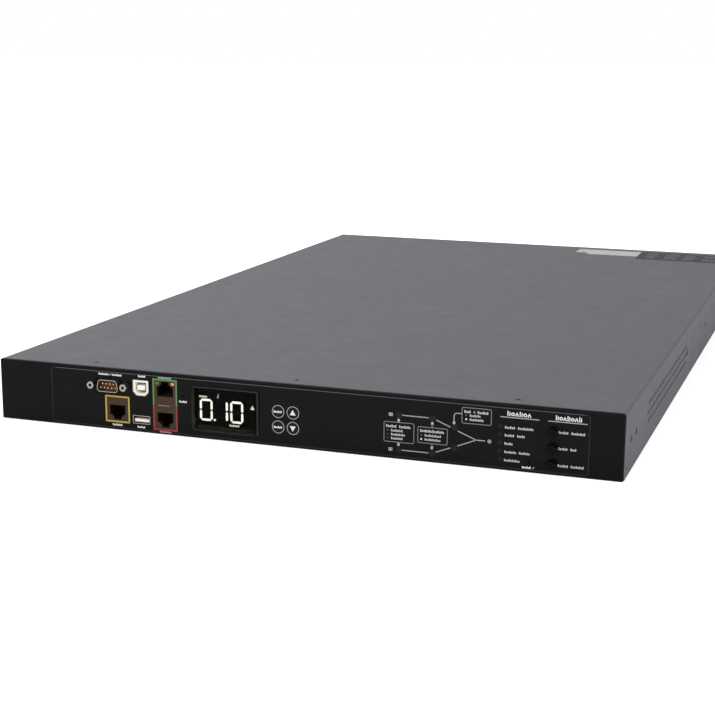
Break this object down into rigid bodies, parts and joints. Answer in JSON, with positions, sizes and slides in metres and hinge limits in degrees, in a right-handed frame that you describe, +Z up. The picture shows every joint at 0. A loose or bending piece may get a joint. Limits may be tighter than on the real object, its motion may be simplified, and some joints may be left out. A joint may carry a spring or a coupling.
{
  "type": "rack static transfer switch",
  "caption": "Flat rack case with a folded steel cover, a black front plate with ports, display, flow diagram and push buttons, and power inlets and outlets behind.",
  "frame": {"origin": "centre of the case's underside, halfway along the case's depth and width", "axes": "+Z up, +Y from the front plate to the rear panel, +X to the right as seen from the front"},
  "size_m": [0.44, 0.7171, 0.0435],
  "materials": {
    "case_paint": "fine textured powder coat",
    "tray_steel": "zinc-plated sheet",
    "plate_paint": "smooth black paint",
    "overlay_film": "glossy printed film",
    "black_screws": "blackened steel",
    "silver_label": "silver film",
    "dark_label": "printed film",
    "connector_nickel": "dull nickel plate",
    "serial_insulator": "moulded",
    "gold_contacts": "gold plate",
    "usb_white": "moulded",
    "jack_brown": "moulded",
    "jack_lights": "moulded light lens",
    "smoked_window": "polished smoked plastic",
    "display_body": "moulded",
    "display_light": "lit",
    "key_rubber": "moulded silicone",
    "button_black": "moulded",
    "plunger_ivory": "moulded",
    "switch_body": "moulded",
    "light_lens": "smoked lens",
    "circuit_board": "solder mask",
    "zinc_hardware": "zinc plate",
    "ribbon_grey": "flat cable",
    "sink_aluminium": "mill finish",
    "module_white": "moulded",
    "relay_black": "moulded",
    "core_blue": "dipped core",
    "fuse_ceramic": "glazed body",
    "capacitor_sleeve": "shrink sleeve",
    "transformer_resin": "potted",
    "terminal_green": "moulded",
    "copper": "bare copper",
    "wire_brown": "wire sleeve",
    "socket_black": "moulded",
    "blade_nickel": "nickel plate",
    "brass_stud": "turned brass"
  },
  "bodies": {
    "chassis": {"base_tray": "tray_steel", "top_cover": "case_paint", "front_plate": "plate_paint", "front_overlay": "overlay_film", "rear_panel": "case_paint", "case_screws": "black_screws", "plate_nuts": "zinc_hardware", "bare_label": "silver_label", "dark_label": "dark_label", "serial_shell": "connector_nickel", "serial_insert": "serial_insulator", "serial_pins": "gold_contacts", "jackscrews": "connector_nickel", "usb_b_shell": "connector_nickel", "usb_b_insert": "usb_white", "usb_a_shell": "connector_nickel", "usb_a_tongue": "usb_white", "sensor_jack": "jack_brown", "network_jack": "jack_brown", "jack_contacts": "gold_contacts", "jack_lights": "jack_lights", "display_window": "smoked_window", "display_module": "display_body", "display_segments": "display_light", "display_board": "circuit_board", "push_switches": "switch_body", "diagram_lights": "light_lens", "alarm_lights": "light_lens", "indicator_board": "circuit_board", "control_board": "circuit_board", "serial_board": "circuit_board", "power_board": "circuit_board", "board_pillars": "zinc_hardware", "board_screws": "zinc_hardware", "ribbon_cable": "ribbon_grey", "heat_sink": "sink_aluminium", "thyristor_modules": "module_white", "relays": "relay_black", "current_transformers": "core_blue", "fuses": "fuse_ceramic", "capacitors": "capacitor_sleeve", "supply_transformers": "transformer_resin", "terminal_blocks": "terminal_green", "copper_bars": "copper", "power_wires": "wire_brown", "power_inlets": "socket_black", "inlet_blades": "blade_nickel", "small_outlets": "socket_black", "large_outlet": "socket_black", "earth_stud": "brass_stud", "earth_nut": "zinc_hardware"},
    "mode_key": {"mode_key": "key_rubber"},
    "function_key": {"function_key": "key_rubber"},
    "up_key": {"up_key": "key_rubber"},
    "down_key": {"down_key": "key_rubber"},
    "upper_button": {"upper_button": "button_black"},
    "middle_button": {"middle_button": "button_black"},
    "lower_button": {"lower_button": "button_black"},
    "left_reset_plunger": {"left_reset_plunger": "plunger_ivory"},
    "right_reset_plunger": {"right_reset_plunger": "plunger_ivory"}
  },
  "joints": [
    {"name": "mode_key_press", "type": "slide", "parent": "chassis", "child": "mode_key", "axis": [0, 1, 0], "range_m": [0, 0.0005], "stiffness_N_per_m": 400},
    {"name": "function_key_press", "type": "slide", "parent": "chassis", "child": "function_key", "axis": [0, 1, 0], "range_m": [0, 0.0005], "stiffness_N_per_m": 400},
    {"name": "up_key_press", "type": "slide", "parent": "chassis", "child": "up_key", "axis": [0, 1, 0], "range_m": [0, 0.0005], "stiffness_N_per_m": 400},
    {"name": "down_key_press", "type": "slide", "parent": "chassis", "child": "down_key", "axis": [0, 1, 0], "range_m": [0, 0.0005], "stiffness_N_per_m": 400},
    {"name": "upper_button_press", "type": "slide", "parent": "chassis", "child": "upper_button", "axis": [0, 1, 0], "range_m": [0, 0.0008], "stiffness_N_per_m": 400},
    {"name": "middle_button_press", "type": "slide", "parent": "chassis", "child": "middle_button", "axis": [0, 1, 0], "range_m": [0, 0.0008], "stiffness_N_per_m": 400},
    {"name": "lower_button_press", "type": "slide", "parent": "chassis", "child": "lower_button", "axis": [0, 1, 0], "range_m": [0, 0.0008], "stiffness_N_per_m": 400},
    {"name": "left_reset_plunger_press", "type": "slide", "parent": "chassis", "child": "left_reset_plunger", "axis": [0, 1, 0], "range_m": [0, 0.0006], "stiffness_N_per_m": 400},
    {"name": "right_reset_plunger_press", "type": "slide", "parent": "chassis", "child": "right_reset_plunger", "axis": [0, 1, 0], "range_m": [0, 0.0006], "stiffness_N_per_m": 400}
  ]
}
